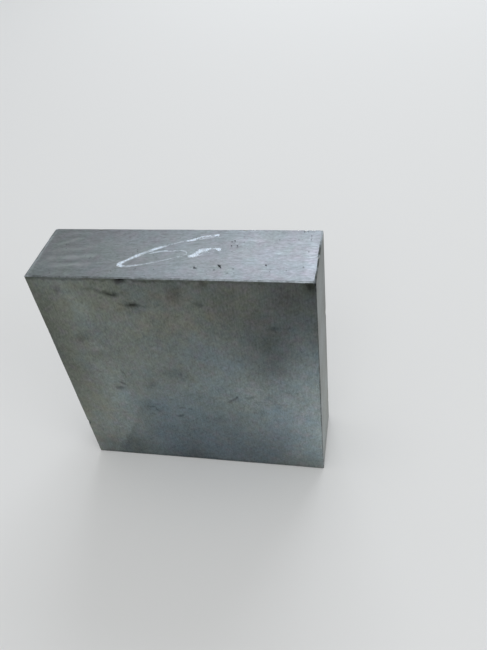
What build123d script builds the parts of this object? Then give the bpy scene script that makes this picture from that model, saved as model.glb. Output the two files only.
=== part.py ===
# A thick square plate of high-speed steel, sawn to size and standing on one of its long edges.
# Millimetres, +Z up. The origin is the middle of the underside, and the broad faces look along Y.
import os

from build123d import *

# Overall size of the plate
length = 210.0
height = 210.0
thickness = 60.0

# Arrises filed where the top and the bottom meet the right-hand sawn end: wider on the edge than on the end
right_arris_run = 1.3
right_arris_drop = 1.0

# Arrises filed where they meet the left-hand sawn end
left_arris = 0.9

# Arris drawn off all the way round both broad faces
face_arris = 0.8

# How far the knocked front corner of the top reaches past the arrises that meet there
knock_past_arrises = 1.1

with BuildPart() as steel_plate:
    # The blank: the broad face's outline, standing on the ground, carried through the thickness
    with BuildSketch(Plane.XZ.offset(-thickness / 2)):
        Rectangle(length, height, align=(Align.CENTER, Align.MIN))
    extrude(amount=thickness)

    # Filed arrises at the right-hand sawn end, top and bottom
    right_end = steel_plate.faces().sort_by(Axis.X)[-1]
    right_edges = right_end.edges().filter_by(Axis.Y)
    chamfer(right_edges, length=right_arris_drop, length2=right_arris_run, reference=right_end)

    # Filed arrises at the left-hand sawn end, top and bottom
    left_end = steel_plate.faces().sort_by(Axis.X)[0]
    left_edges = left_end.edges().filter_by(Axis.Y)
    chamfer(left_edges, length=left_arris)

    # Narrow arris round each broad face, mitred into the wider ones at the corners
    broad_faces = steel_plate.faces().filter_by(Axis.Y)
    chamfer(broad_faces.edges(), length=face_arris)

    # Front corner of the top, knocked off at the right-hand end
    knock = right_arris_run + face_arris + knock_past_arrises
    knock_plane = Plane(
        origin=(length / 2 - knock, -thickness / 2, height),
        z_dir=(1, -1, 1),
    )
    split(bisect_by=knock_plane, keep=Keep.BOTTOM)

steel_plate.part.label = "steel_plate"

os.makedirs("parts", exist_ok=True)
export_step(steel_plate.part, "parts/steel_plate.step")
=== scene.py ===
import math
from types import SimpleNamespace

import bpy
import numpy as np
from mathutils import Matrix, Vector


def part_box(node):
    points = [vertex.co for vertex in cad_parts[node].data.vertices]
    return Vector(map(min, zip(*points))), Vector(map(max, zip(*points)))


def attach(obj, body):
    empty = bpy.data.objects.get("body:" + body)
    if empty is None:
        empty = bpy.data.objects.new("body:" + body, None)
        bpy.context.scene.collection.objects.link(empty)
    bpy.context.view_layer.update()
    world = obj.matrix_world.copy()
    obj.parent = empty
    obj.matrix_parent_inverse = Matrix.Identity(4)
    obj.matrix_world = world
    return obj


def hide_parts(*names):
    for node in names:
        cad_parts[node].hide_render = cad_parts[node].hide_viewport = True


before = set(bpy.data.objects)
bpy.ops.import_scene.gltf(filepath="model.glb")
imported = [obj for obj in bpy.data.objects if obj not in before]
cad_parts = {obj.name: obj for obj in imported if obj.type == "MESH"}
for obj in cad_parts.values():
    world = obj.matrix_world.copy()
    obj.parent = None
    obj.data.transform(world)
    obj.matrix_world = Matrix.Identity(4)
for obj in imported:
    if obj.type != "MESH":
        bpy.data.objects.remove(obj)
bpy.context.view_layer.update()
plateLow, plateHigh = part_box("steel_plate")

scene = bpy.context.scene
mm = 0.001


# An sRGB hex colour as linear light, with full alpha
def toLinear(code):
    parts = [int(code[i:i + 2], 16) / 255 for i in (1, 3, 5)]
    return [p / 12.92 if p <= 0.04045 else ((p + 0.055) / 1.055) ** 2.4 for p in parts] + [1.0]


# Adds one node with its settings, and gives each input a value or links it to the output that feeds it. An
# input goes by its name, with _ for a space, or by its number, as in i0
def addNode(tree, kind, settings=None, **inputs):
    node = tree.nodes.new(kind)
    for name, value in (settings or {}).items():
        setattr(node, name, value)
    for name, value in inputs.items():
        numbered = name[0] == "i" and name[1:].isdigit()
        socket = node.inputs[int(name[1:]) if numbered else name.replace("_", " ")]
        if isinstance(value, bpy.types.NodeSocket):
            tree.links.new(value, socket)
        else:
            socket.default_value = value
    return node


# Camera: stands to the right and above, looks down and a little to the left, and is held out of level
camera = {
    "place": (0.1408, -0.3449, 0.4653),
    "heading": 15.73,      # degrees left of +Y
    "pitch": -42.12,       # degrees, negative below level
    "roll": -8.59,         # degrees, right-hand side lower
    "lens": 34.34,         # mm
    "sensor": 36,          # mm, along the picture's long side
    "nearest": 0.01,       # metres, where its view begins
}


def makeCamera():
    data = bpy.data.cameras.new("camera")
    data.sensor_width = camera["sensor"]
    data.lens = camera["lens"]
    data.clip_start = camera["nearest"]
    eye = bpy.data.objects.new("camera", data)
    turn = Matrix.Rotation(math.radians(camera["heading"]), 4, "Z")
    tilt = Matrix.Rotation(math.radians(90 + camera["pitch"]), 4, "X")
    roll = Matrix.Rotation(math.radians(camera["roll"]), 4, "Z")
    eye.matrix_world = Matrix.Translation(camera["place"]) @ turn @ tilt @ roll
    scene.collection.objects.link(eye)
    scene.camera = eye
    print("camera set")


# Studio: pale floor and sky, a large softbox behind that the top mirrors, one overhead, and two fills
studio = {
    "floorSize": 30.0,
    "floorColour": "#dddddb",
    "floorRoughness": 0.9,
    "skyColour": "#f5f6f7",
    "skyStrength": 0.5,
    "aim": (0, 0, 0.1),    # the softboxes face about the middle of the plate
}
softboxes = [
    {"name": "backBox", "place": (0.2, 2.4, 1.8), "size": 2.2, "power": 36.0, "colour": "#f3f8ff"},
    {"name": "topBox", "place": (-0.2, 0.1, 2.9), "size": 1.6, "power": 11.0, "colour": "#fbfcff"},
    {"name": "rightBox", "place": (1.9, -1.0, 1.3), "size": 1.2, "power": 8.0, "colour": "#fbfcff"},
    {"name": "frontBox", "place": (0.5, -2.3, 2.4), "size": 2.4, "power": 30.0, "colour": "#fbfcff"},
]


def makeStudio():
    mesh = bpy.data.meshes.new("floor")
    half = studio["floorSize"] / 2
    corners = [(-half, -half, 0), (half, -half, 0), (half, half, 0), (-half, half, 0)]
    mesh.from_pydata(corners, [], [(0, 1, 2, 3)])
    floor = bpy.data.objects.new("floor", mesh)
    scene.collection.objects.link(floor)
    paint = bpy.data.materials.new("paleFloor")
    paint.use_nodes = True
    shader = paint.node_tree.nodes["Principled BSDF"]
    shader.inputs["Base Color"].default_value = toLinear(studio["floorColour"])
    shader.inputs["Roughness"].default_value = studio["floorRoughness"]
    mesh.materials.append(paint)

    world = bpy.data.worlds.new("studio")
    world.use_nodes = True
    scene.world = world
    sky = world.node_tree.nodes["Background"]
    sky.inputs["Color"].default_value = toLinear(studio["skyColour"])
    sky.inputs["Strength"].default_value = studio["skyStrength"]

    for box in softboxes:
        data = bpy.data.lights.new(box["name"], "AREA")
        data.shape = "SQUARE"
        data.size = box["size"]
        data.energy = box["power"]
        data.color = toLinear(box["colour"])[:3]
        lamp = bpy.data.objects.new(box["name"], data)
        place = Vector(box["place"])
        aim = (Vector(studio["aim"]) - place).to_track_quat("-Z", "Y")
        lamp.matrix_world = Matrix.Translation(place) @ aim.to_matrix().to_4x4()
        scene.collection.objects.link(lamp)
    scene.view_settings.view_transform = "Standard"
    print("studio set")


# The plate's mesh: a fine skin over the box, its ends sunk a little where the saw wandered, and its edges
# filed down to uneven arrises and knocked here and there
plate = {
    "cell": 1.5,                   # mm between mesh lines on the flat
    "edgeLines": [0, 0.18, 0.36, 0.56, 0.8, 1.05, 1.35, 1.75, 2.3, 3.1],  # mm in from an edge
    "filings": 3,                  # times round with the file, as each flat disturbs others at the corners
    "uneven": 0.28,                # how far an arris wanders in width, as a share of it
    "wander": 17.0,                # mm, the length of one wander
    "smallWander": 3.4,            # mm
    "smallShare": 0.3,             # how much of the wandering the small one does
    "wornFrom": 0.05,              # mm filed or knocked off, from where a face takes the arrises' finish
    "sawDepth": 0.12,              # mm, how deep the saw wandered into the ends
    "sawWander": 22.0,             # mm
    "sawSlant": 12,                # degrees, the blade's rise towards the back
    "rim": 2.5,                    # mm in from an edge, where that has its full depth
    "seed": 60,
}
# Knocks on the arrises, in mm: middle, the way in, radius, depth
knocks = [
    ((105, -1, 210), (-1, 0, -1), 2.8, 0.35),
    ((-66, 30, 210), (0, -1, -1), 4.0, 0.2),
    ((-105, 14, 210), (1, 0, -1), 3.0, 0.12),
    ((-105, -30, 43), (1, 1, 0), 3.6, 0.4),
    ((105, 30, 132), (-1, -1, 0), 4.5, 0.45),
    ((105, 30, 24), (-1, -1, 0), 3.5, 0.3),
    ((-105, 30, 210), (1, -1, -1), 4.0, 0.2),
    ((48, 30, 210), (0, -1, -1), 3.0, 0.25),
    ((-105, 30, 14), (1, -1, 0), 4.0, 0.35),
]
# The thin burr that the saw left standing along the top of the left-hand end
burr = {
    "from": 1.0,                   # mm from the front
    "to": 54.0,
    "fade": 9.0,                   # mm, how softly its two ends die away
    "inFromArris": 1.1,            # mm
    "halfWidth": 0.45,             # mm
    "height": 0.3,                 # mm
    "wander": 1.6,                 # mm, the length of one rise or dip
    "uneven": 0.35,                # how far it rises and dips, as a share of its height
}


def arrisSizes():
    # Widths of the arrises and of the knocked corner, in mm, read from the CAD node
    points = np.array([v.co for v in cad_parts["steel_plate"].data.vertices]) / mm
    low, high = np.array(plateLow) / mm, np.array(plateHigh) / mm
    tiny = 0.01  # mm
    onTop = points[points[:, 2] > high[2] - tiny]
    onFront = points[points[:, 1] < low[1] + tiny]
    onEnd = [points[points[:, 0] < low[0] + tiny], points[points[:, 0] > high[0] - tiny]]
    return {
        "run": (onTop[:, 0].min() - low[0], high[0] - onTop[:, 0].max()),
        "drop": tuple(high[2] - end[:, 2].max() for end in onEnd),
        "face": high[2] - onFront[:, 2].max(),
        "knock": (high[0] - onTop[:, 0] + onTop[:, 1] - low[1]).min(),
    }


def gridLines(size):
    near = np.array(plate["edgeLines"])
    count = int(round((size - 2 * near[-1]) / plate["cell"]))
    middle = np.linspace(near[-1], size - near[-1], count + 1)
    return np.concatenate([near[:-1], middle, size - near[-2::-1]])


def smooth(share):
    share = np.clip(share, 0, 1)
    return share * share * (3 - 2 * share)


def wandering(along, spacing, seed):
    # Smooth random curve from -1 to 1 with one free value every spacing
    count = 4096  # values, more than any curve here needs
    first = 64  # the value at 0, so that a point a little before 0 has one too
    values = np.random.default_rng(seed).uniform(-1, 1, count)
    step = along / spacing + first
    cell = np.floor(step).astype(int)
    part = smooth(step - cell)
    return values[cell] * (1 - part) + values[cell + 1] * part


def makeLattice(size):
    # Every side is a grid on the same lines, and sides share the points where they meet. A side's number is
    # twice its axis, and one more if it is the far one
    lines = [gridLines(s) for s in size]
    counts = [len(line) for line in lines]
    corners, sides = [], []
    for axis in range(3):
        u, v = [a for a in range(3) if a != axis]
        for far in (0, 1):
            index = np.zeros((counts[u], counts[v], 3), int)
            index[..., u] = np.arange(counts[u])[:, None]
            index[..., v] = np.arange(counts[v])
            index[..., axis] = far * (counts[axis] - 1)
            ring = [index[:-1, :-1], index[1:, :-1], index[1:, 1:], index[:-1, 1:]]
            if (far == 1) == (axis == 1):  # this turn would face inwards
                ring.reverse()
            corners.append(np.stack(ring, 2).reshape(-1, 4, 3))
            sides.append(np.full(len(corners[-1]), axis * 2 + far))
    code = np.ravel_multi_index(np.moveaxis(np.concatenate(corners), -1, 0), counts)
    used, faces = np.unique(code, return_inverse=True)
    index = np.unravel_index(used, counts)
    points = np.stack([lines[a][index[a]] for a in range(3)], -1)
    return points, faces.reshape(-1, 4), np.concatenate(sides)


def depthIn(points, size, axis, far):
    return size[axis] - points[:, axis] if far else points[:, axis]


def fileDown(points, size, cuts):
    # Files one flat across two or three sides. A cut is a side's axis, whether it is the far one, and how far
    # in it reaches
    short = np.maximum(0, 1 - sum(depthIn(points, size, axis, far) / reach for axis, far, reach in cuts))
    share = short / sum(1 / reach**2 for axis, far, reach in cuts)
    for axis, far, reach in cuts:
        points[:, axis] += (-1 if far else 1) * share / reach


def wearPlate(points, size):
    # Sinks the sawn ends, files the arrises, and adds the knocks and the burr. Returns how far each point
    # moved after the ends were sunk
    slant = math.radians(plate["sawSlant"])
    across = points[:, 2] * math.cos(slant) - points[:, 1] * math.sin(slant)
    inFromRim = np.minimum.reduce([depthIn(points, size, axis, far) for axis in (1, 2) for far in (0, 1)])
    rim = smooth(inFromRim / plate["rim"])
    for far in (0, 1):
        onEnd = depthIn(points, size, 0, far) == 0
        sunk = plate["sawDepth"] * (1 + wandering(across, plate["sawWander"], plate["seed"] + far)) / 2
        points[:, 0] += np.where(onEnd, (-1 if far else 1) * sunk * rim, 0)

    before = points.copy()
    sizes = arrisSizes()
    small = plate["smallShare"]
    for _ in range(plate["filings"]):
        seed = plate["seed"]
        for a, b in ((0, 2), (1, 2), (0, 1)):  # an arris lies between sides of these axes, along the third
            along = before[:, 3 - a - b]
            for farA, farB in ((0, 0), (0, 1), (1, 0), (1, 1)):
                seed += 1
                curve = (1 - small) * wandering(along, plate["wander"], seed)
                curve += small * wandering(along, plate["smallWander"], seed + 100)  # a seed not used yet
                share = 1 + plate["uneven"] * curve
                reachA = sizes["run"][farA] if (a, b) == (0, 2) else sizes["face"]
                reachB = sizes["drop"][farA] if (a, b) == (0, 2) else sizes["face"]
                fileDown(points, size, [(a, farA, reachA * share), (b, farB, reachB * share)])
        fileDown(points, size, [(0, 1, sizes["knock"]), (1, 0, sizes["knock"]), (2, 1, sizes["knock"])])

    for middle, inwards, radius, depth in knocks:
        gap = np.linalg.norm(points + np.array(plateLow) / mm - middle, axis=1)
        points += np.outer(depth * np.clip(1 - (gap / radius)**2, 0, 1)**2, Vector(inwards).normalized())

    inFromLine = (before[:, 0] - sizes["run"][0] - burr["inFromArris"]) / burr["halfWidth"]
    along = (before[:, 1] - burr["from"]) * (burr["to"] - before[:, 1]) / burr["fade"]**2
    curve = wandering(before[:, 1], burr["wander"], plate["seed"] - 1)
    height = burr["height"] * (1 - burr["uneven"] + burr["uneven"] * curve)
    onTop = before[:, 2] == size[2]
    points[:, 2] += onTop * height * smooth(1 - np.abs(inFromLine)) * smooth(along)
    return np.linalg.norm(points - before, axis=1)


def addBakeMap(mesh, flat, faces, sides, size):
    # A map of the unfiled box, with all six sides at one scale: the broad faces lowest, then the long edges,
    # then the ends
    gap = 6  # mm between sides on the map
    long, thick, high = size
    x, y, z = flat[faces.reshape(-1)].T
    places = [
        (gap + z, 3 * gap + high + thick + y),
        (2 * gap + long + z, 3 * gap + high + thick + (thick - y)),
        (gap + x, gap + z),
        (2 * gap + long + (long - x), gap + z),
        (2 * gap + long + x, 2 * gap + high + (thick - y)),
        (gap + x, 2 * gap + high + y),
    ]
    side = np.repeat(sides, 4)
    u, v = (np.choose(side, [place[i] for place in places]) / (3 * gap + 2 * long) for i in (0, 1))
    uv = np.stack([u, v], -1).ravel().astype(np.float32)
    mesh.uv_layers.new(name="OFBake").data.foreach_set("uv", uv)


def makePlateMesh():
    size = np.array(plateHigh - plateLow) / mm
    points, faces, sides = makeLattice(size)
    flat = points.copy()
    worn = wearPlate(points, size)
    mesh = bpy.data.meshes.new("plate")
    mesh.from_pydata((points * mm + np.array(plateLow)).tolist(), [], faces.tolist())
    slots = np.array([2, 2, 0, 0, 1, 1])[sides]  # ends, broad faces, long edges
    slots[worn[faces].mean(1) > plate["wornFrom"]] = 3  # arrises
    mesh.polygons.foreach_set("material_index", slots.astype(np.int32))
    mesh.polygons.foreach_set("use_smooth", np.ones(len(faces), bool))
    addBakeMap(mesh, flat, faces, sides, size)
    mesh.update()
    print("plate mesh:", len(points), "points,", 2 * len(faces), "triangles")
    return mesh


# Adds noise layers up to one value. A layer has its blotches' sizes in mm along X, Y and Z, the amount that
# it adds, how much finer detail it has and how harsh that is, and its turn in degrees
def addNoise(tree, point, layers, total=1.0):
    for layer in layers:
        place = addNode(tree, "ShaderNodeMapping", {"vector_type": "TEXTURE"}, Vector=point,
                        Rotation=[math.radians(r) for r in layer.get("turn", (0, 0, 0))],
                        Scale=[s * mm for s in layer["sizes"]])
        noise = addNode(tree, "ShaderNodeTexNoise", {"normalize": False}, Vector=place.outputs[0],
                        Scale=1.0, Detail=layer.get("detail", 2.0), Roughness=layer.get("harshness", 0.5))
        total = addNode(tree, "ShaderNodeMath", {"operation": "MULTIPLY_ADD"},
                        i0=noise.outputs[0], i1=layer["amount"], i2=total).outputs[0]
    return total


# Adds soft-edged marks up to one value. A mark has its middle and its half sizes in mm, its slant in degrees
# and its strength. It slants about the axis given, which is Y for the broad faces
def addMarks(tree, point, marks, total=0.0, axis=1):
    for middle, half, slant, strength in marks:
        place = addNode(tree, "ShaderNodeMapping", {"vector_type": "TEXTURE"}, Vector=point,
                        Location=[c * mm for c in middle],
                        Rotation=[math.radians(slant) if a == axis else 0.0 for a in range(3)],
                        Scale=[h * mm for h in half])
        fall = addNode(tree, "ShaderNodeTexGradient", {"gradient_type": "SPHERICAL"},
                       Vector=place.outputs[0])
        soft = addNode(tree, "ShaderNodeMapRange", {"interpolation_type": "SMOOTHSTEP"},
                       Value=fall.outputs[1])
        total = addNode(tree, "ShaderNodeMath", {"operation": "MULTIPLY_ADD"},
                        i0=soft.outputs[0], i1=strength, i2=total).outputs[0]
    return total


# Lines across one direction, from -1 to 1, that sway to and fro by about this many mm
def addLines(tree, point, across, pitch, sway=0.0):
    along = addNode(tree, "ShaderNodeVectorMath", {"operation": "DOT_PRODUCT"},
                    i0=point, i1=across).outputs["Value"]
    if sway:
        swayLength = 11  # mm
        along = addNoise(tree, point, [{"sizes": [swayLength] * 3, "amount": 2 * sway * mm}], along)
    turn = addNode(tree, "ShaderNodeMath", {"operation": "MULTIPLY"}, i0=along, i1=math.tau / (pitch * mm))
    return addNode(tree, "ShaderNodeMath", {"operation": "SINE"}, i0=turn.outputs[0]).outputs[0]


# The start of a material's nodes: its point on the piece, and the same point pushed about, so that the
# outlines of marks turn ragged
def startMaterial(name, finish):
    material = bpy.data.materials.new(name)
    material.use_nodes = True
    tree = material.node_tree
    shader = tree.nodes["Principled BSDF"]
    shader.inputs["Metallic"].default_value = finish.get("metallic", 1.0)
    point = addNode(tree, "ShaderNodeTexCoord").outputs["Object"]
    pushed = point
    if "ragged" in finish:
        pushLength = 9  # mm
        push = addNode(tree, "ShaderNodeTexNoise", {"normalize": False}, Vector=point,
                       Scale=1 / (pushLength * mm), Detail=4.0)
        pushed = addNode(tree, "ShaderNodeVectorMath", {"operation": "MULTIPLY_ADD"},
                         i0=push.outputs["Color"], i1=[finish["ragged"] * mm] * 3, i2=point).outputs[0]
    return SimpleNamespace(finish=finish, material=material, tree=tree, shader=shader,
                           point=point, pushed=pushed)


# The end of a material's nodes: its two tones mixed by share, times shade, rougher where duller is high, and
# a fine grain on top of height
def finishMaterial(begun, share, shade, duller, height=1.0):
    tree, finish = begun.tree, begun.finish
    first, second = [toLinear(tone) for tone in finish["tones"]]
    colour = addNode(tree, "ShaderNodeMix", {"data_type": "RGBA"}, i0=share, i6=first, i7=second).outputs[2]
    for tint in finish.get("tints", []):
        spots = addNoise(tree, begun.point, tint["spots"], tint["base"])
        spots = addMarks(tree, begun.point, tint["marks"], spots)
        colour = addNode(tree, "ShaderNodeMix", {"data_type": "RGBA"}, i0=spots,
                         i6=colour, i7=toLinear(tint["colour"])).outputs[2]
    shaded = addNode(tree, "ShaderNodeVectorMath", {"operation": "SCALE"}, i0=colour, Scale=shade)
    tree.links.new(shaded.outputs[0], begun.shader.inputs["Base Color"])
    roughness = addNode(tree, "ShaderNodeMath", {"operation": "MULTIPLY_ADD"},
                        i0=duller, i1=finish["dulls"], i2=finish["roughness"])
    tree.links.new(roughness.outputs[0], begun.shader.inputs["Roughness"])
    grain = addNoise(tree, begun.point, finish["grain"], height)
    bump = addNode(tree, "ShaderNodeBump", Height=grain, Distance=finish["grainHeight"] * mm)
    tree.links.new(bump.outputs[0], begun.shader.inputs["Normal"])
    return begun.material


# High-speed steel plate, face-ground and left oily: a dark satin grey that mirrors softly, clouded where oil
# has dried, with thumbed grease and rubbed streaks
broadFace = {
    "tones": ("#7c8278", "#73828e"),   # greenish and bluish
    "secondTone": 0.1,             # how much of the second there is before its clouds and marks
    "ragged": 2.2,                 # mm, how far the outlines of marks are pushed about
    "hue": [
        {"sizes": (40, 40, 40), "amount": 0.20, "detail": 4.0},
        {"sizes": (6, 6, 6), "amount": 0.16},
    ],
    "hueMarks": [
        # The bluer bottom and the greener left are painted reflection colour
        ((0, -30, 20), (130, 40, 110), 0, 0.60),
        ((100, -30, 110), (75, 40, 150), 0, 0.35),
        ((30, -30, 128), (85, 40, 62), 0, 0.35),
        ((-72, -30, 178), (14, 40, 60), -20, 0.10),
        ((-115, -30, 120), (50, 40, 130), 0, -0.30),
        ((90, -30, 60), (90, 40, 90), 0, 0.18),
        ((-26, -30, 78), (60, 40, 80), 0, 0.16),
    ],
    # The thin oil shows a little mauve, most of all at the top right, and a little brown where it lies
    # thicker. The brown at the left and the cold blue low down are painted reflection colour of what the face
    # mirrors
    "tints": [
        {
            "colour": "#867c88",
            "base": 0.03,
            "spots": [{"sizes": (7, 7, 7), "amount": 0.35, "detail": 4.0}],
            "marks": [
                ((88, -30, 192), (90, 40, 70), 0, 0.06),
                ((60, -30, 190), (56, 40, 56), 0, 0.08),
            ],
        },
        {
            "colour": "#887c6c",
            "base": -0.04,
            "spots": [{"sizes": (11, 11, 11), "amount": 0.20, "detail": 4.0}],
            "marks": [
                ((-4, -30, 176), (70, 40, 60), 0, 0.14),
                ((6, -30, 194), (16, 40, 16), 0, 0.30),
                ((-96, -30, 60), (44, 40, 120), 0, 0.12),
            ],
        },
        {
            "colour": "#648596",
            "base": 0.0,
            "spots": [{"sizes": (20, 20, 20), "amount": 0.12, "detail": 4.0}],
            "marks": [
                ((-6, -30, 64), (90, 40, 60), 0, 0.15),
                ((-54, -30, 12), (44, 40, 28), 0, 0.18),
            ],
        },
    ],
    "clouds": [
        {"sizes": (60, 60, 60), "amount": 0.06, "detail": 3.0},
        {"sizes": (13, 13, 17), "amount": 0.09, "detail": 5.0, "harshness": 0.6},
        {"sizes": (2.8, 2.8, 4.6), "amount": 0.13, "detail": 3.0},
        {"sizes": (1.3, 1.3, 2.6), "amount": 0.22},
        # Grinding lines and rubbed streaks, drawn coarse enough to show
        {"sizes": (1.2, 1.2, 8), "amount": 0.10},
        {"sizes": (14, 14, 1.3), "amount": 0.08, "turn": (0, -34, 0)},
    ],
    # Broad zones, mostly painted reflection and painted shade with some clouding: below 0 is lighter. The
    # lighter lower right and middle, the darker top and top right and the darker bottom are painted
    # reflection of what the face mirrors
    "cloudsAndPaintedLight": [
        ((0, -30, 105), (400, 60, 400), 0, 0.06),
        ((0, -30, 218), (170, 20, 62), 0, 0.18),
        ((0, -30, 200), (60, 20, 28), 0, 0.10),
        ((92, -30, 196), (88, 20, 84), 0, 0.44),
        ((68, -30, 140), (30, 20, 48), 0, 0.22),
        ((-114, -30, 150), (46, 20, 140), 0, 0.42),
        ((10, -30, 104), (95, 20, 52), 0, -0.28),
        ((116, -30, 66), (62, 20, 104), 0, -0.90),
        ((88, -30, 48), (60, 20, 66), 0, -0.08),
        ((-66, -30, 40), (30, 20, 36), 0, -0.08),
        ((62, -30, 78), (46, 20, 58), 0, -0.36),
        ((-12, -30, 66), (90, 20, 36), 0, -0.10),
        ((-66, -30, 105), (18, 20, 60), -6, -0.17),
        ((-72, -30, 56), (36, 20, 62), 12, -0.24),
        ((-74, -30, 190), (9, 20, 40), -24, -0.12),
        ((-64, -30, 166), (28, 20, 30), 0, 0.08),
        ((39, -30, 171), (30, 20, 32), 0, 0.10),
        ((62, -30, 199), (26, 20, 26), 0, -0.10),
        ((-4, -30, 117), (44, 20, 26), 0, 0.09),
        ((52, -30, 92), (60, 20, 32), 0, -0.08),
        ((98, -30, 132), (26, 20, 52), 0, -0.07),
        ((-39, -30, 14), (26, 20, 30), 0, -0.08),
        ((13, -30, 12), (26, 20, 28), 0, -0.08),
        ((-92, -30, 12), (40, 20, 28), 0, 0.05),
        ((6, -30, -6), (110, 20, 60), 0, 0.26),
        ((-66, -30, 6), (32, 20, 34), 0, 0.12),
        # A painted reflection edge, slanting up across the lower left
        ((-65.6, -30, 30), (6.5, 20, 90), 26.7, 0.14),
        ((-73.4, -30, 30), (6.5, 20, 90), 26.7, -0.14),
        ((-64, -30, 18), (14, 20, 20), 20, 0.12),
        ((88, -30, 54), (36, 20, 46), 0, -0.05),
        # Painted shade at the front's top right corner
        ((103, -30, 204.5), (10, 20, 10), 0, 0.20),
        ((105, -30, 110), (5, 20, 112), 0, 0.13),
        ((-13, -30, 4), (44, 20, 30), 0, 0.12),
        ((-60, -30, 208.2), (190, 20, 2.6), 0, 0.32),   # a darker strip just under the top arris
        # Painted shade along the foot, where the plate stands
        ((0, -30, 1.6), (400, 20, 2.6), 0, 0.16),
    ],
    "grease": [
        ((-82.5, -30, 199), (6, 9, 6), 40, 0.25),
        ((-50, -30, 197), (20, 9, 3), 13, 0.28),
        ((-41.5, -30, 194.8), (9, 9, 4.8), 5, 0.40),
        ((-28.5, -30, 184.5), (9.5, 9, 6.2), -4, 0.48),
        ((-25, -30, 184.3), (19, 9, 2.8), 0, 0.22),
        ((-43, -30, 178), (18, 9, 2.6), -22, 0.12),
        ((-32.5, -30, 206.6), (8, 9, 4.5), 0, 0.58),
        ((5, -30, 195), (9, 9, 15), 10, 0.20),
        ((27, -30, 205.5), (6, 9, 4), 0, 0.28),
        ((21.5, -30, 187.5), (7, 9, 4), 0, 0.30),
        ((73, -30, 166.2), (8, 9, 3.4), -22, 0.20),
        ((82, -30, 150), (5, 9, 5), -60, 0.08),
        ((68, -30, 148), (10, 9, 20), 12, 0.08),
        ((72, -30, 124), (14, 9, 12), 0, 0.10),
        ((-77, -30, 149), (14, 9, 9), -20, 0.24),
        ((-68, -30, 131), (16, 9, 8), 10, 0.22),
        ((-73.4, -30, 112.6), (4.5, 9, 3), 20, 0.24),
        ((-54, -30, 112), (8, 9, 1.8), 55, 0.34),
        ((-57, -30, 98.5), (7, 9, 2.2), 35, 0.52),
        ((-60.5, -30, 93), (6.5, 9, 4.0), 25, 0.52),
        ((-38, -30, 70), (12, 9, 6), 20, 0.09),
        ((-37.6, -30, 70.6), (6.5, 9, 1.7), 10, 0.36),
        ((-33.2, -30, 66), (5.5, 9, 1.7), 62, 0.34),
        ((-12, -30, 71.5), (7, 9, 2.0), 0, 0.36),
        ((-4, -30, 71), (4, 9, 2.4), 0, 0.32),
        ((-15, -30, 61), (5, 9, 3.4), 0, 0.55),
        ((35, -30, 86), (9, 9, 1.7), -44, 0.48),
        ((38.4, -30, 89.2), (4, 9, 3), -44, 0.54),
        ((30.8, -30, 82.2), (5, 9, 1.8), -20, 0.26),
        ((46.9, -30, 88.7), (3.8, 9, 3), 0, 0.48),
        ((50.5, -30, 91.2), (5.5, 9, 1.9), -24, 0.44),
        ((58.6, -30, 84.8), (9, 9, 1.6), -5, 0.24),
        ((57.5, -30, 71), (5, 9, 5), 0, 0.20),
        ((66, -30, 84), (30, 9, 3), -6, 0.07),
        ((73.8, -30, 84.2), (9, 9, 1.8), -5, 0.24),
        ((82, -30, 98), (8, 9, 6), 0, 0.08),
        ((78.3, -30, 97.7), (2.6, 9, 2.2), 0, 0.28),
        ((87.1, -30, 98.1), (2.6, 9, 2.2), 0, 0.30),
        ((20, -30, 60), (8, 9, 6), 0, 0.18),
        ((-10, -30, 113), (26, 9, 11), 8, 0.26),
        ((-32, -30, 100), (13, 9, 11), -30, 0.20),
        ((101, -30, 207.5), (9, 9, 7), 0, 0.18),
        ((-40, 30, 150), (40, 9, 26), -25, 0.20),    # the rest are on the back
        ((38, 30, 96), (52, 9, 30), 20, 0.22),
        ((72, 30, 44), (11, 9, 4), -30, 0.45),
        ((64, 30, 52), (7, 9, 3), -30, 0.40),
        ((-70, 30, 60), (9, 9, 3), 15, 0.45),
        ((-12, 30, 180), (12, 9, 3.5), 5, 0.50),
        ((-88, 30, 120), (22, 9, 60), 0, -0.14),
    ],
    "roughness": 0.33,
    "dulls": 0.15,                 # what a full mark adds to that
    "grain": [
        {"sizes": (0.8, 0.8, 6), "amount": 1.0},
        {"sizes": (2.5, 2.5, 2.5), "amount": 0.8, "detail": 3.0},
    ],
    "grainHeight": 0.010,          # mm
}


def makeBroadFace():
    steel = startMaterial("broadFace", broadFace)
    tree = steel.tree
    clouds = addNoise(tree, steel.point, broadFace["clouds"])
    # The broad zones of painted reflection and shade, and the grease: above 0 is darker
    dark = addMarks(tree, steel.pushed, broadFace["cloudsAndPaintedLight"] + broadFace["grease"])
    light = addNode(tree, "ShaderNodeMath", {"operation": "SUBTRACT"}, i0=1.0, i1=dark)
    shade = addNode(tree, "ShaderNodeMath", {"operation": "MULTIPLY"}, i0=clouds, i1=light.outputs[0])
    share = addNoise(tree, steel.point, broadFace["hue"], broadFace["secondTone"])
    share = addMarks(tree, steel.pushed, broadFace["hueMarks"], share)
    return finishMaterial(steel, share, shade.outputs[0], dark)


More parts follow.
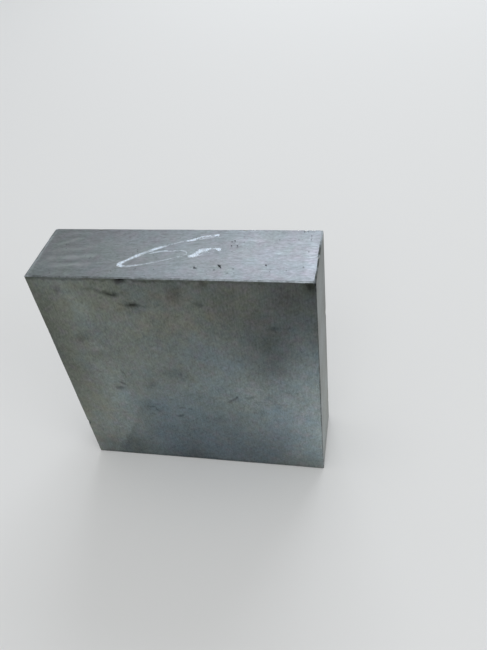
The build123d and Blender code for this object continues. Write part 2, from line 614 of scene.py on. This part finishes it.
# The same steel milled along its narrow edge: paler and bluish, with short streaks along the cut and, near
# the left-hand end, longer and lighter ones where the cutter dwelt
machinedEdge = {
    "tones": ("#838b8a", "#868d93"),   # neutral and bluish
    "secondTone": 0.6,
    "ragged": 1.4,                 # mm
    "hue": [{"sizes": (30, 30, 30), "amount": 0.5, "detail": 4.0}],
    "hueMarks": [((-100, 0, 210), (130, 90, 90), 0, -0.6)],
    "tints": [{
        "colour": "#8f858f",
        "base": 0.10,
        "spots": [{"sizes": (9, 9, 9), "amount": 0.30, "detail": 4.0}],
        "marks": [((90, -10, 210), (90, 60, 20), 0, 0.10)],
    }],
    "clouds": [
        {"sizes": (45, 45, 45), "amount": 0.08, "detail": 4.0},
        {"sizes": (13, 2.2, 13), "amount": 0.09, "detail": 3.0, "turn": (0, 0, 5)},
        {"sizes": (5.0, 2.6, 5.0), "amount": 0.10, "detail": 4.0, "harshness": 0.65},
        {"sizes": (2.2, 1.0, 2.2), "amount": 0.21},
        # Cutter lines, drawn coarse enough to show
        {"sizes": (30, 1.0, 30), "amount": 0.06},
    ],
    # Below 0 is lighter
    "marks": [
        ((0, 0, 210), (600, 300, 60), 0, 0.02),
        # A little painted shade at the left-hand end
        ((-112, 0, 210), (50, 60, 20), 0, 0.02),
        ((-45, -24, 210), (70, 26, 8), 0, -0.10),
        ((-60, 6, 210), (60, 40, 20), 0, -0.02),
        ((28, 32, 210), (200, 34, 20), 0, 0.13),
        ((40, 0, 210), (60, 22, 8), 0, 0.02),
        # Lighter at the right-hand end: cutter chatter, and partly a painted highlight where the edge catches
        # the light
        ((100, -6, 210), (6.5, 36, 6), 0, -0.14),
        ((52, 16.7, 210), (22, 3.4, 5), 0, -0.16),
        ((74, 0.3, 210), (11, 2.6, 5), 0, -0.14),
        # Streaks where the cutter dwelt, and the darker steel between them
        ((-84, 23, 210), (20, 3.4, 5), 5, -0.22),
        ((-86, 12.4, 210), (16, 3.6, 5), 22, -0.36),
        ((-80, 3.2, 210), (26, 3.2, 5), 10, -0.36),
        ((-84, -7.6, 210), (18, 3.2, 5), 7, -0.54),
        ((-68, -5.8, 210), (18, 3.2, 5), 8, -0.54),
        ((-80, -16.8, 210), (18, 3.4, 5), 6, -0.54),
        ((-66, -15.4, 210), (16, 3.2, 5), 6, -0.50),
        ((-96.5, -13, 210), (14, 7, 5), 50, -0.15),
        ((-82, 7.8, 210), (24, 3.2, 5), 14, 0.06),
        ((-77, -2.4, 210), (28, 3.4, 5), 11, 0.08),
        ((-76, -11.6, 210), (28, 3.4, 5), 10, 0.10),
        ((-74, -21.6, 210), (28, 4.0, 5), 5, 0.08),
        ((-57, -10, 210), (5, 18, 5), 0, 0.08),
        # A thin light line on the burr along the left-hand end: bare steel, partly a painted highlight on its
        # lit side
        ((-102.4, -6, 210), (1.8, 56, 5), 0, -0.45),
    ],
    # Coarser lines where the cutter ran out at the right-hand end: their pitch and sway in mm, and the mark
    # that they fill
    "endLines": {
        "pitch": 3.3,
        "sway": 1.6,
        "mark": ((100, -6, 210), (7, 40, 30), 0, 0.12),
    },
    "roughness": 0.42,
    "dulls": 0.2,
    "grain": [
        {"sizes": (12, 0.8, 12), "amount": 1.0, "detail": 3.0},
        {"sizes": (2.0, 2.0, 2.0), "amount": 0.8, "detail": 3.0},
    ],
    "grainHeight": 0.016,          # mm
}


def makeMachinedEdge():
    steel = startMaterial("machinedEdge", machinedEdge)
    tree = steel.tree
    clouds = addNoise(tree, steel.point, machinedEdge["clouds"])
    ending = machinedEdge["endLines"]
    lines = addLines(tree, steel.pushed, (0, 1, 0), ending["pitch"], ending["sway"])
    filled = addMarks(tree, steel.pushed, [ending["mark"]])
    lined = addNode(tree, "ShaderNodeMath", {"operation": "MULTIPLY_ADD"}, i0=lines, i1=filled, i2=clouds)
    dark = addMarks(tree, steel.pushed, machinedEdge["marks"], axis=2)
    shade = addNode(tree, "ShaderNodeMath", {"operation": "SUBTRACT"}, i0=lined.outputs[0], i1=dark)
    share = addNoise(tree, steel.point, machinedEdge["hue"], machinedEdge["secondTone"])
    share = addMarks(tree, steel.point, machinedEdge["hueMarks"], share)
    return finishMaterial(steel, share, shade.outputs[0], dark)


# The ends as the band saw left them: a warmer, duller grey with slanting tooth lines and a thin brown stain
sawnEnd = {
    "tones": ("#818786", "#78766e"),   # clean and stained
    "secondTone": 0.15,
    "ragged": 0.25,                # mm
    "hue": [{"sizes": (30, 30, 30), "amount": 0.55, "detail": 5.0, "harshness": 0.6}],
    # The thin layer is the tooth lines, drawn coarse enough to show
    "clouds": [
        {"sizes": (30, 30, 50), "amount": 0.10, "detail": 4.0},
        {"sizes": (40, 40, 1.0), "amount": 0.14, "detail": 3.0, "turn": (plate["sawSlant"], 0, 0)},
        {"sizes": (1.4, 1.4, 1.4), "amount": 0.08},
    ],
    # Above 0 is lighter: lighter near the foot, and darker towards the top and the back
    "marks": [
        ((105, 0, 20), (30, 90, 150), 0, 0.40),
        ((105, 30, 170), (30, 72, 150), 0, -0.20),
        ((105, 16, 206), (30, 50, 44), 0, -0.10),
    ],
    "linePitch": 2.6,              # mm between the saw's coarse lines
    "lineDepth": 0.07,             # how much they shade
    "roughness": 0.46,
    "dulls": 0.1,
    "grain": [{"sizes": (40, 40, 0.8), "amount": 1.5, "detail": 3.0, "turn": (plate["sawSlant"], 0, 0)}],
    "grainHeight": 0.03,           # mm
}


def makeSawnEnd():
    steel = startMaterial("sawnEnd", sawnEnd)
    tree = steel.tree
    slant = math.radians(plate["sawSlant"])
    lines = addLines(tree, steel.pushed, (0, -math.sin(slant), math.cos(slant)), sawnEnd["linePitch"])
    clouds = addNoise(tree, steel.point, sawnEnd["clouds"])
    clouds = addMarks(tree, steel.pushed, sawnEnd["marks"], clouds)
    shade = addNode(tree, "ShaderNodeMath", {"operation": "MULTIPLY_ADD"},
                    i0=lines, i1=sawnEnd["lineDepth"], i2=clouds)
    share = addNoise(tree, steel.point, sawnEnd["hue"], sawnEnd["secondTone"])
    return finishMaterial(steel, share, shade.outputs[0], share, height=lines)


# Arrises drawn off with a file and then handled: grime in the file marks reads as a dark line, broken where a
# knock has laid the steel bare. Painted highlights lighten some arrises, and painted shade darkens the feet
# and a corner
filedArris = {
    "tones": ("#585d5a", "#acb4ba"),   # grimy and bare, the bare tone also carrying painted highlights
    "secondTone": 0.03,
    "ragged": 1.0,                 # mm
    "bareAndHighlit": [
        ((105, -1, 210), (5, 3.0, 5), 0, 0.85),
        # Painted highlight on the right-hand arris towards the back
        ((105, 24, 210), (6, 20, 6), 0, 0.95),
        ((105, -16, 210), (5, 5, 5), 0, 0.35),
        # Painted highlight along the front of the top, stronger towards the right
        ((0, -30, 210), (900, 6, 6), 0, 0.18),
        ((110, -30, 210), (220, 6, 6), 0, 0.42),
        ((105, -30, 10), (6, 6, 150), 0, 0.30),
        # Bare steel on the burr along the left-hand end, partly a painted highlight on its lit side
        ((-103.2, -4, 210), (5, 60, 4), 0, 1.3),
        ((105, 30, 132), (6, 6, 7), 0, 0.6),
        ((-105, 30, 210), (6, 6, 6), 0, 0.5),
    ],
    "shadeAndGrime": [
        # Below 0 is lighter: painted light on the right-hand arris towards the back
        ((105, 22, 210), (6, 22, 6), 0, -0.35),
        # Painted shade at the front top right corner
        ((104.6, -29.6, 208.2), (3.4, 3.4, 3.4), 0, 0.50),
        ((105, -30, 204), (4, 4, 8), 0, 0.45),
        ((105, -30, 196), (6, 6, 100), 0, 0.22),
        # Painted shade along the feet, where the plate stands
        ((0, -30, 0), (900, 6, 6), 0, 0.40),
        ((0, 30, 0), (900, 6, 6), 0, 0.40),
        ((105, 0, 0), (6, 200, 6), 0, 0.30),
        ((-105, 0, 0), (6, 200, 6), 0, 0.30),
    ],
    "specks": [
        {"sizes": (24, 24, 24), "amount": 0.10, "detail": 3.0},
        {"sizes": (5, 5, 5), "amount": 0.16, "detail": 4.0, "harshness": 0.7},
        {"sizes": (2, 2, 2), "amount": 0.18},
    ],
    "clouds": [{"sizes": (2.5, 2.5, 2.5), "amount": 0.15, "detail": 3.0}],
    "roughness": 0.5,
    "dulls": -0.12,                # bare and highlit parts are smoother
    "grain": [{"sizes": (0.9, 0.9, 0.9), "amount": 1.0, "detail": 3.0}],
    "grainHeight": 0.04,           # mm
}


def makeFiledArris():
    steel = startMaterial("filedArris", filedArris)
    tree = steel.tree
    bareAndHighlit = addNoise(tree, steel.point, filedArris["specks"], filedArris["secondTone"])
    bareAndHighlit = addMarks(tree, steel.pushed, filedArris["bareAndHighlit"], bareAndHighlit)
    clouds = addNoise(tree, steel.point, filedArris["clouds"])
    # Painted shade and light, and grime: above 0 is darker
    shadeAndGrime = addMarks(tree, steel.pushed, filedArris["shadeAndGrime"])
    shade = addNode(tree, "ShaderNodeMath", {"operation": "SUBTRACT"}, i0=clouds, i1=shadeAndGrime)
    return finishMaterial(steel, bareAndHighlit, shade.outputs[0], bareAndHighlit)


def makePlate():
    mesh = makePlateMesh()
    for makeFinish in (makeBroadFace, makeMachinedEdge, makeSawnEnd, makeFiledArris):
        mesh.materials.append(makeFinish())
    piece = bpy.data.objects.new("plate", mesh)
    scene.collection.objects.link(piece)
    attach(piece, "root")
    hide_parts("steel_plate")
    print("plate made")


# Starts a Geometry Nodes tree with named inputs. Returns it and the sockets that give them
def startTree(name, inputs):
    tree = bpy.data.node_groups.new(name, "GeometryNodeTree")
    tree.interface.new_socket("Geometry", in_out="INPUT", socket_type="NodeSocketGeometry")
    for title, kind in inputs.items():
        tree.interface.new_socket(title, in_out="INPUT", socket_type="NodeSocket" + kind)
    tree.interface.new_socket("Geometry", in_out="OUTPUT", socket_type="NodeSocketGeometry")
    return tree, addNode(tree, "NodeGroupInput").outputs


# Ends a tree: a shape on each point, scaled, turned about each axis by up to an angle and given a tone of its
# own, then made real and given its material
def placeCopies(tree, points, shape, scale, turn, seed, material):
    turned = addNode(tree, "FunctionNodeRandomValue", {"data_type": "FLOAT_VECTOR"},
                     i0=(0.0, 0.0, 0.0), i1=turn, Seed=seed)
    copies = addNode(tree, "GeometryNodeInstanceOnPoints", Points=points, Instance=shape,
                     Rotation=turned.outputs[0], Scale=scale)
    tone = addNode(tree, "FunctionNodeRandomValue", {"data_type": "FLOAT"}, i2=0.0, i3=1.0, Seed=seed + 1)
    toned = addNode(tree, "GeometryNodeStoreNamedAttribute", {"domain": "INSTANCE", "data_type": "FLOAT"},
                    Geometry=copies.outputs[0], Name="tone", Value=tone.outputs[1])
    real = addNode(tree, "GeometryNodeRealizeInstances", Geometry=toned.outputs[0])
    done = addNode(tree, "GeometryNodeSetMaterial", Geometry=real.outputs[0], Material=material)
    addNode(tree, "NodeGroupOutput", Geometry=done.outputs[0])


# Runs a tree on a start mesh of points and lines, and keeps what it makes as a plain mesh on the plate
def growPiece(name, points, lines, values, tree, sizes):
    start = bpy.data.meshes.new(name)
    start.from_pydata([Vector(p) * mm for p in points], lines, [])
    for title, numbers in values.items():
        start.attributes.new(title, "FLOAT", "POINT").data.foreach_set("value", numbers)
    piece = bpy.data.objects.new(name, start)
    scene.collection.objects.link(piece)
    modifier = piece.modifiers.new(name, "NODES")
    modifier.node_group = tree
    for item in tree.interface.items_tree:
        if item.in_out == "INPUT" and item.name in sizes:
            modifier[item.identifier] = sizes[item.name]
    grown = piece.evaluated_get(bpy.context.evaluated_depsgraph_get())
    mesh = bpy.data.meshes.new_from_object(grown)
    piece.modifiers.remove(modifier)
    piece.data = mesh
    addTopMap(mesh)
    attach(piece, "root")
    print(name + ":", len(mesh.polygons), "faces")


def addTopMap(mesh):
    # The piece seen from above fills the lower half of the map, and what faces down fills the upper half
    half, filled = 0.5, 0.48  # the rest of each half is a gap
    points = np.array([v.co[:2] for v in mesh.vertices])
    low, span = points.min(0), np.ptp(points, axis=0)
    corners = np.array([(mesh.loops[i].vertex_index, face.normal.z < 0)
                        for face in mesh.polygons for i in face.loop_indices])
    flat = (points[corners[:, 0]] - low) / span
    flat[:, 1] = flat[:, 1] * filled + corners[:, 1] * half
    mesh.uv_layers.new(name="OFBake").data.foreach_set("uv", flat.ravel().astype(np.float32))


# A loose bit's material: two tones, mixed anew for each bit, with a rough, grainy skin
def makeGrainSkin(name, skin):
    bit = startMaterial(name, skin)
    tone = addNode(bit.tree, "ShaderNodeAttribute", {"attribute_name": "tone"}).outputs["Fac"]
    return finishMaterial(bit, tone, addNoise(bit.tree, bit.point, skin["clouds"]), tone)


# Chalk: the plate's thickness written by hand, as powder caught on the steel's high spots. Each point of a
# stroke has its X and Y in mm, half the stroke's width in mm and the pressure there
chalk = {
    "strokes": [
        [(28.6, 22.6, 1.1, 1.40), (26.6, 21.8, 0.9, 0.60), (24.2, 21.3, 0.9, 0.32), (21.1, 20.9, 0.9, 0.40),
         (16.7, 19.8, 0.9, 0.32), (12.9, 17.6, 1.1, 0.42), (11.6, 15.9, 1.2, 0.90), (8.7, 15.3, 0.9, 0.70),
         (5.0, 14.0, 0.7, 0.17), (0.9, 12.6, 0.6, 0.20), (-4.4, 9.9, 0.6, 0.15), (-9.2, 7.5, 0.9, 0.34),
         (-13.9, 5.0, 1.3, 0.80), (-18.2, 1.8, 1.2, 0.36), (-22.7, -1.4, 1.3, 0.38), (-27.0, -4.5, 1.6, 0.78),
         (-30.9, -8.0, 1.3, 0.45), (-34.9, -11.8, 1.3, 0.62),
         (-36.9, -14.3, 1.7, 1.60), (-36.1, -15.8, 1.3, 1.20), (-33.2, -16.8, 1.1, 0.42),
         (-27.8, -16.4, 0.8, 0.28), (-24.2, -15.4, 0.7, 0.31), (-21.5, -14.9, 0.5, 0.16),
         (-18.9, -14.2, 0.5, 0.15), (-14.2, -12.4, 0.5, 0.17), (-10.0, -11.1, 0.5, 0.18),
         (-6.0, -9.4, 0.4, 0.14), (0.6, -6.5, 0.4, 0.12), (5.9, -4.0, 0.4, 0.11), (9.2, -1.9, 0.4, 0.12),
         (9.6, 0.4, 0.5, 0.16), (7.6, 2.0, 0.5, 0.17), (4.2, 2.6, 0.4, 0.15), (-1.6, 2.0, 0.5, 0.18),
         (-6.9, 2.0, 0.7, 0.30), (-11.9, 0.8, 0.6, 0.27), (-17.4, -1.0, 0.5, 0.20)],
        [(28.8, 21.2, 0.7, 0.30), (25.4, 20.0, 0.7, 0.12), (21.3, 18.8, 0.8, 0.27), (15.7, 17.0, 0.8, 0.22)],
        [(12.8, -4.2, 1.4, 1.40), (15.2, -2.7, 1.4, 0.80), (17.6, -0.2, 1.5, 0.70), (19.4, 2.8, 2.0, 1.40),
         (21.4, 3.6, 2.3, 1.60), (23.4, 4.2, 1.8, 1.30), (26.7, 5.4, 0.8, 0.30), (30.3, 5.6, 0.9, 0.45),
         (33.2, 4.7, 1.2, 1.50), (32.0, 3.0, 0.8, 0.10), (29.0, 1.9, 0.8, 0.03), (25.0, 0.8, 0.9, 0.03),
         (21.0, -1.2, 1.3, 0.16), (18.0, -2.9, 1.2, 0.40), (15.0, -4.2, 1.1, 0.70)],
    ],
    "step": 0.2,                   # mm along a stroke
    "grainsAtStep": 8,
    "smallest": 0.14,              # mm, a grain's radius
    "largest": 0.28,
    "finest": 0.45,                # the grains' size under no pressure, as a share of their full size
    "coarser": 1.1,                # how much of it a full pressure adds
    "flatness": 0.35,              # a grain's height, as a share of its width
    "toothLong": 5.0,              # mm, the high spots' size along the cutter lines and across
    "toothShort": 0.8,
    "toothBite": 0.15,
    "seed": 1,
    # Chalk powder: bluish white and matt, with no shine
    "skin": {
        "tones": ("#dfeefe", "#eef7ff"),
        "metallic": 0.0,
        "roughness": 0.85,
        "dulls": 0.1,
        "clouds": [{"sizes": (3, 3, 3), "amount": 0.06}],
        "grain": [{"sizes": (0.15, 0.15, 0.15), "amount": 1.0}],
        "grainHeight": 0.05,       # mm
    },
}


def makeChalk():
    tree, given = startTree("chalkGrains", {
        "Step": "Float", "Grains": "Int", "Smallest": "Float", "Largest": "Float", "Flatness": "Float"})
    halfWidth, pressure = [
        addNode(tree, "GeometryNodeInputNamedAttribute", {"data_type": "FLOAT"}, Name=name).outputs[0]
        for name in ("halfWidth", "pressure")]
    strokes = addNode(tree, "GeometryNodeMeshToCurve", Mesh=given["Geometry"])
    curved = addNode(tree, "GeometryNodeCurveSplineType", {"spline_type": "CATMULL_ROM"},
                     Curve=strokes.outputs[0])
    steps = addNode(tree, "GeometryNodeResampleCurve", {"mode": "LENGTH"},
                    Curve=curved.outputs[0], Length=given["Step"])
    spots = addNode(tree, "GeometryNodeCurveToPoints", {"mode": "EVALUATED"}, Curve=steps.outputs[0])
    grains = addNode(tree, "GeometryNodeDuplicateElements", {"domain": "POINT"},
                     Geometry=spots.outputs[0], Amount=given["Grains"])
    aside = addNode(tree, "FunctionNodeRandomValue", {"data_type": "FLOAT_VECTOR"},
                    i0=(-1.0, -1.0, 0.0), i1=(1.0, 1.0, 0.0), Seed=chalk["seed"])
    offset = addNode(tree, "ShaderNodeVectorMath", {"operation": "SCALE"},
                     i0=aside.outputs[0], Scale=halfWidth)
    strewn = addNode(tree, "GeometryNodeSetPosition", Geometry=grains.outputs[0], Offset=offset.outputs[0])

    # Powder stays where the pressure and the steel's tooth hold it
    place = addNode(tree, "ShaderNodeVectorMath", {"operation": "MULTIPLY"},
                    i0=addNode(tree, "GeometryNodeInputPosition").outputs[0],
                    i1=[1 / (chalk["toothLong"] * mm), 1 / (chalk["toothShort"] * mm), 0.0])
    tooth = addNode(tree, "ShaderNodeTexNoise", {"normalize": False}, Vector=place.outputs[0],
                    Scale=1.0, Detail=2.0)
    held = addNode(tree, "ShaderNodeMath", {"operation": "MULTIPLY_ADD"},
                   i0=tooth.outputs[0], i1=chalk["toothBite"], i2=pressure)
    chance = addNode(tree, "FunctionNodeRandomValue", {"data_type": "FLOAT"},
                     i2=0.0, i3=1.0, Seed=chalk["seed"] + 1)
    lost = addNode(tree, "FunctionNodeCompare", {"operation": "GREATER_THAN", "data_type": "FLOAT"},
                   i0=chance.outputs[1], i1=held.outputs[0])
    left = addNode(tree, "GeometryNodeDeleteGeometry", {"domain": "POINT"},
                   Geometry=strewn.outputs[0], Selection=lost.outputs[0])

    # A light touch leaves finer powder
    fineness = addNode(tree, "ShaderNodeMath", {"operation": "MULTIPLY_ADD", "use_clamp": True},
                       i0=pressure, i1=chalk["coarser"], i2=chalk["finest"])
    full = addNode(tree, "FunctionNodeRandomValue", {"data_type": "FLOAT"},
                   i2=given["Smallest"], i3=given["Largest"], Seed=chalk["seed"] + 2)
    radius = addNode(tree, "ShaderNodeMath", {"operation": "MULTIPLY"},
                     i0=full.outputs[1], i1=fineness.outputs[0])
    height = addNode(tree, "ShaderNodeMath", {"operation": "MULTIPLY"},
                     i0=radius.outputs[0], i1=given["Flatness"])
    scale = addNode(tree, "ShaderNodeCombineXYZ",
                    X=radius.outputs[0], Y=radius.outputs[0], Z=height.outputs[0])
    ball = addNode(tree, "GeometryNodeMeshIcoSphere", Radius=1.0, Subdivisions=1)
    placeCopies(tree, left.outputs[0], ball.outputs[0], scale.outputs[0], (0.0, 0.0, math.tau),
                chalk["seed"] + 3, makeGrainSkin("chalkPowder", chalk["skin"]))

    top = plateHigh.z / mm
    points = [point for stroke in chalk["strokes"] for point in stroke]
    lines, first = [], 0
    for stroke in chalk["strokes"]:
        lines += [(i, i + 1) for i in range(first, first + len(stroke) - 1)]
        first += len(stroke)
    values = {
        "halfWidth": [half * mm for x, y, half, press in points],
        "pressure": [press for x, y, half, press in points],
    }
    growPiece("chalk", [(x, y, top) for x, y, half, press in points], lines, values, tree, {
        "Step": chalk["step"] * mm,
        "Grains": chalk["grainsAtStep"],
        "Smallest": chalk["smallest"] * mm,
        "Largest": chalk["largest"] * mm,
        "Flatness": chalk["flatness"],
    })


# Saw chips left lying on the top: small curls, blued by the cut. Each has its X and Y and its size in mm
chips = {
    "places": [
        (36.7, -14.4, 1.8), (38.0, -16.3, 1.1), (35.8, -13.6, 0.9), (19.7, -17.0, 1.4), (20.8, -17.2, 0.8),
        (42.5, 15.2, 0.9), (40.8, 14.0, 0.7), (41.3, 9.1, 0.9), (45.6, 9.2, 1.0), (34.1, -19.2, 0.8),
        (69.5, -13.0, 1.1), (75.1, 17.0, 0.7),
        (91.7, 27.0, 0.8), (-87.2, 8.7, 0.8), (-28.2, 3.3, 0.7),
    ],
    "turns": 1.3,                  # how often a curl goes round
    "turnPoints": 9,               # points in one turn
    # The rest of its shape, as shares of its size
    "curlStart": 0.22,             # radius at the foot and at the head of the curl
    "curlEnd": 0.42,
    "curlHeight": 0.45,
    "stripThick": 0.10,
    "stripWide": 0.34,
    "lift": 0.1,
    "lean": 0.5,                   # radians, at most
    "seed": 5,
    # Steel blued by the saw's heat: dark, with a low shine
    "skin": {
        "tones": ("#34393e", "#5a5e63"),
        "metallic": 0.6,
        "roughness": 0.5,
        "dulls": 0.2,
        "clouds": [{"sizes": (1, 1, 1), "amount": 0.2}],
        "grain": [{"sizes": (0.3, 0.3, 0.3), "amount": 1.0}],
        "grainHeight": 0.02,       # mm
    },
}


def makeChips():
    sizes = {
        "Turns": chips["turns"],
        "Curl Start": chips["curlStart"],
        "Curl End": chips["curlEnd"],
        "Curl Height": chips["curlHeight"],
        "Strip Thick": chips["stripThick"],
        "Strip Wide": chips["stripWide"],
    }
    tree, given = startTree("sawChips", {title: "Float" for title in sizes})
    curl = addNode(tree, "GeometryNodeCurveSpiral", Resolution=chips["turnPoints"],
                   Rotations=given["Turns"], Start_Radius=given["Curl Start"],
                   End_Radius=given["Curl End"], Height=given["Curl Height"])
    strip = addNode(tree, "GeometryNodeCurvePrimitiveQuadrilateral",
                    Width=given["Strip Thick"], Height=given["Strip Wide"])
    chip = addNode(tree, "GeometryNodeCurveToMesh", Curve=curl.outputs[0], Profile_Curve=strip.outputs[0],
                   Fill_Caps=True)
    size = addNode(tree, "GeometryNodeInputNamedAttribute", {"data_type": "FLOAT"}, Name="size")
    spots = addNode(tree, "GeometryNodeMeshToPoints", Mesh=given["Geometry"])
    placeCopies(tree, spots.outputs[0], chip.outputs[0], size.outputs[0],
                (chips["lean"], chips["lean"], math.tau), chips["seed"],
                makeGrainSkin("bluedChip", chips["skin"]))
    top = plateHigh.z / mm
    growPiece("chips", [(x, y, top + chips["lift"] * wide) for x, y, wide in chips["places"]], [],
              {"size": [wide * mm for x, y, wide in chips["places"]]}, tree, sizes)


# Grit: fine filings and dust strewn over the top
grit = {
    "density": 8000.0,             # bits on a square metre
    "coversLong": 0.97,            # how much of the top's length and thickness it covers
    "coversThick": 0.92,
    "smallest": 0.14,              # mm, a bit's radius
    "largest": 0.46,
    "seed": 6,
    # Steel filings and dust: dark and dull
    "skin": {
        "tones": ("#4c5054", "#787b7e"),
        "metallic": 0.5,
        "roughness": 0.5,
        "dulls": 0.2,
        "clouds": [{"sizes": (1, 1, 1), "amount": 0.2}],
        "grain": [{"sizes": (0.2, 0.2, 0.2), "amount": 1.0}],
        "grainHeight": 0.02,       # mm
    },
}


def makeGrit():
    span = plateHigh - plateLow
    sizes = {
        "Long": span.x * grit["coversLong"],
        "Thick": span.y * grit["coversThick"],
        "Density": grit["density"],
        "Smallest": grit["smallest"] * mm,
        "Largest": grit["largest"] * mm,
    }
    tree, given = startTree("strewnGrit", {title: "Float" for title in sizes})
    sheet = addNode(tree, "GeometryNodeMeshGrid", Vertices_X=2, Vertices_Y=2,
                    Size_X=given["Long"], Size_Y=given["Thick"])
    lifted = addNode(tree, "GeometryNodeSetPosition", Geometry=sheet.outputs[0],
                     Offset=(0.0, (plateLow.y + plateHigh.y) / 2, plateHigh.z))
    spots = addNode(tree, "GeometryNodeDistributePointsOnFaces", Mesh=lifted.outputs[0],
                    Density=given["Density"], Seed=grit["seed"])
    ball = addNode(tree, "GeometryNodeMeshIcoSphere", Radius=1.0, Subdivisions=1)
    radius = addNode(tree, "FunctionNodeRandomValue", {"data_type": "FLOAT"},
                     i2=given["Smallest"], i3=given["Largest"], Seed=grit["seed"] + 1)
    placeCopies(tree, spots.outputs[0], ball.outputs[0], radius.outputs[1], [math.tau] * 3,
                grit["seed"] + 2, makeGrainSkin("darkGrit", grit["skin"]))
    growPiece("grit", [], [], {}, tree, sizes)


# Crumbs of torn steel, most of them along the top's back edge. Each has its X, Y and radius in mm
crumbs = {
    "places": [
        (87.0, 28.4, 0.55), (92.5, 28.2, 0.60), (93.4, 29.0, 0.40), (97.1, 28.9, 0.55), (98.6, 28.7, 0.65),
        (103.2, 28.8, 0.50), (55.0, 28.9, 0.45), (53.0, 29.1, 0.30), (104.0, -3.8, 0.35),
    ],
    "seed": 9,
    # Freshly torn steel, its near-white tone a painted glint
    "skin": {
        "tones": ("#e2e6e8", "#f6f8f8"),
        "metallic": 0.3,
        "roughness": 0.35,
        "dulls": 0.1,
        "clouds": [{"sizes": (1, 1, 1), "amount": 0.05}],
        "grain": [{"sizes": (0.3, 0.3, 0.3), "amount": 1.0}],
        "grainHeight": 0.03,       # mm
    },
}


def makeCrumbs():
    tree, given = startTree("burrCrumbs", {})
    spots = addNode(tree, "GeometryNodeMeshToPoints", Mesh=given["Geometry"])
    ball = addNode(tree, "GeometryNodeMeshIcoSphere", Radius=1.0, Subdivisions=2)
    size = addNode(tree, "GeometryNodeInputNamedAttribute", {"data_type": "FLOAT"}, Name="size")
    placeCopies(tree, spots.outputs[0], ball.outputs[0], size.outputs[0], [math.tau] * 3,
                crumbs["seed"], makeGrainSkin("burrPaintedGlint", crumbs["skin"]))
    top = plateHigh.z / mm
    growPiece("crumbs", [(x, y, top) for x, y, radius in crumbs["places"]], [],
              {"size": [radius * mm for x, y, radius in crumbs["places"]]}, tree, {})


makeCamera()
makeStudio()
makePlate()
makeChalk()
makeChips()
makeGrit()
makeCrumbs()
